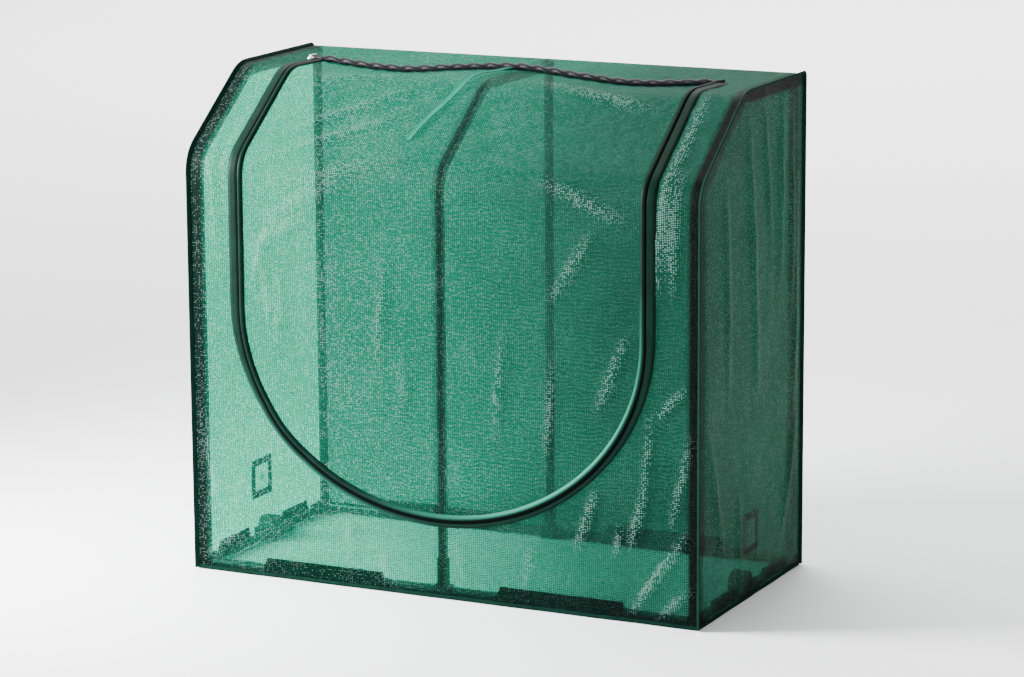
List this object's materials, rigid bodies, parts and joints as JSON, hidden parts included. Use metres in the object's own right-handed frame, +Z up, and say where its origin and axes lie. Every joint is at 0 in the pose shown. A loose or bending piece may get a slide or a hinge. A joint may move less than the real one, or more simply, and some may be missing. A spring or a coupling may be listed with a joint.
{
  "type": "mini pop up greenhouse",
  "caption": "Small folding greenhouse: bent tube hoops under a knitted green net cover with a sloping shoulder and a U-shaped zipped door that lifts at the front.",
  "frame": {"origin": "on the ground under the middle of the base", "axes": "+X to the right along the front, +Y from the door to the back, +Z up"},
  "size_m": [0.92, 0.44, 0.8478],
  "materials": {
    "tube": "satin dark green-black powder coat",
    "fitting": "moulded black plastic, satin",
    "net": "knitted polyethylene shade net, see-through",
    "band": "twisted black binding cord",
    "zip_tape": "glossy dark green zip tape with a black coil",
    "door_tape": "sage green binding beside the zip",
    "tie": "flat green woven tape",
    "tab": "dark green hook-and-loop tape",
    "patch": "dark green tape sewn in a square",
    "slider": "bright plated metal",
    "rivet": "plain steel"
  },
  "bodies": {
    "front_frame": {"hoop_left": "tube", "hoop_middle": "tube", "hoop_right": "tube", "hinge_fork_left": "fitting", "hinge_fork_middle": "fitting", "hinge_fork_right": "fitting", "hinge_pin_left": "rivet", "hinge_pin_middle": "rivet", "hinge_pin_right": "rivet", "front_bar_left": "tube", "front_bar_right": "tube", "front_tee": "fitting", "front_corner_left": "fitting", "front_corner_right": "fitting", "front_tab_left": "tab", "front_tab_right": "tab", "front_panel": "net", "shoulder_panel_left": "net", "shoulder_panel_right": "net", "roof_panel": "net", "end_panel_left": "net", "end_panel_right": "net", "port_patch_left": "patch", "port_patch_right": "patch", "zip_frame_tape": "zip_tape", "top_band": "band"},
    "rear_frame": {"rear_post_left": "tube", "rear_post_middle": "tube", "rear_post_right": "tube", "hinge_tongue_left": "fitting", "hinge_tongue_middle": "fitting", "hinge_tongue_right": "fitting", "rear_bar_left": "tube", "rear_bar_right": "tube", "rear_tee": "fitting", "rear_corner_left": "fitting", "rear_corner_right": "fitting", "rear_tab_left": "tab", "rear_tab_right": "tab", "rear_panel": "net"},
    "front_side_bar_left": {"front_side_bar_left": "tube", "front_knuckle_left": "fitting", "front_side_tab_left": "tab"},
    "rear_side_bar_left": {"rear_side_bar_left": "tube", "rear_knuckle_left": "fitting", "rear_side_tab_left": "tab"},
    "front_side_bar_right": {"front_side_bar_right": "tube", "front_knuckle_right": "fitting", "front_side_tab_right": "tab"},
    "rear_side_bar_right": {"rear_side_bar_right": "tube", "rear_knuckle_right": "fitting", "rear_side_tab_right": "tab"},
    "door": {"door_panel": "net", "zip_door_tape": "door_tape", "tie_tape": "tie"},
    "zip_slider": {"zip_slider": "slider"},
    "zip_puller": {"zip_puller": "slider"}
  },
  "joints": [
    {"name": "frame_fold", "type": "hinge", "parent": "front_frame", "child": "rear_frame", "pos_m": [0, 0.2075, 0.8275], "axis": [-1, 0, 0], "range_deg": [0, 16]},
    {"name": "front_side_bar_lift_left", "type": "hinge", "parent": "front_frame", "child": "front_side_bar_left", "pos_m": [-0.4475, -0.1775, 0.0105], "axis": [1, 0, 0], "range_deg": [0, 80.5]},
    {"name": "rear_side_bar_lift_left", "type": "hinge", "parent": "rear_frame", "child": "rear_side_bar_left", "pos_m": [-0.4475, 0.1775, 0.0105], "axis": [-1, 0, 0], "range_deg": [0, 30.6]},
    {"name": "front_side_bar_lift_right", "type": "hinge", "parent": "front_frame", "child": "front_side_bar_right", "pos_m": [0.4475, -0.1775, 0.0105], "axis": [1, 0, 0], "range_deg": [0, 80.5]},
    {"name": "rear_side_bar_lift_right", "type": "hinge", "parent": "rear_frame", "child": "rear_side_bar_right", "pos_m": [0.4475, 0.1775, 0.0105], "axis": [-1, 0, 0], "range_deg": [0, 30.6]},
    {"name": "door_lift", "type": "hinge", "parent": "front_frame", "child": "door", "pos_m": [0, 0.069, 0.84], "axis": [-1, 0, 0], "range_deg": [0, 75]},
    {"name": "zip_slide", "type": "slide", "parent": "front_frame", "child": "zip_slider", "axis": [0, -1, 0], "range_m": [0, 0.045]},
    {"name": "puller_turn", "type": "hinge", "parent": "zip_slider", "child": "zip_puller", "pos_m": [-0.37375, 0.05, 0.8461], "axis": [1, 0, 0], "range_deg": [0, 150]}
  ],
  "couplings": [
    {"joint": "front_side_bar_lift_left", "follows": "frame_fold", "ratio": 5.0283},
    {"joint": "rear_side_bar_lift_left", "follows": "frame_fold", "ratio": 1.9094},
    {"joint": "front_side_bar_lift_right", "follows": "frame_fold", "ratio": 5.0283},
    {"joint": "rear_side_bar_lift_right", "follows": "frame_fold", "ratio": 1.9094}
  ]
}
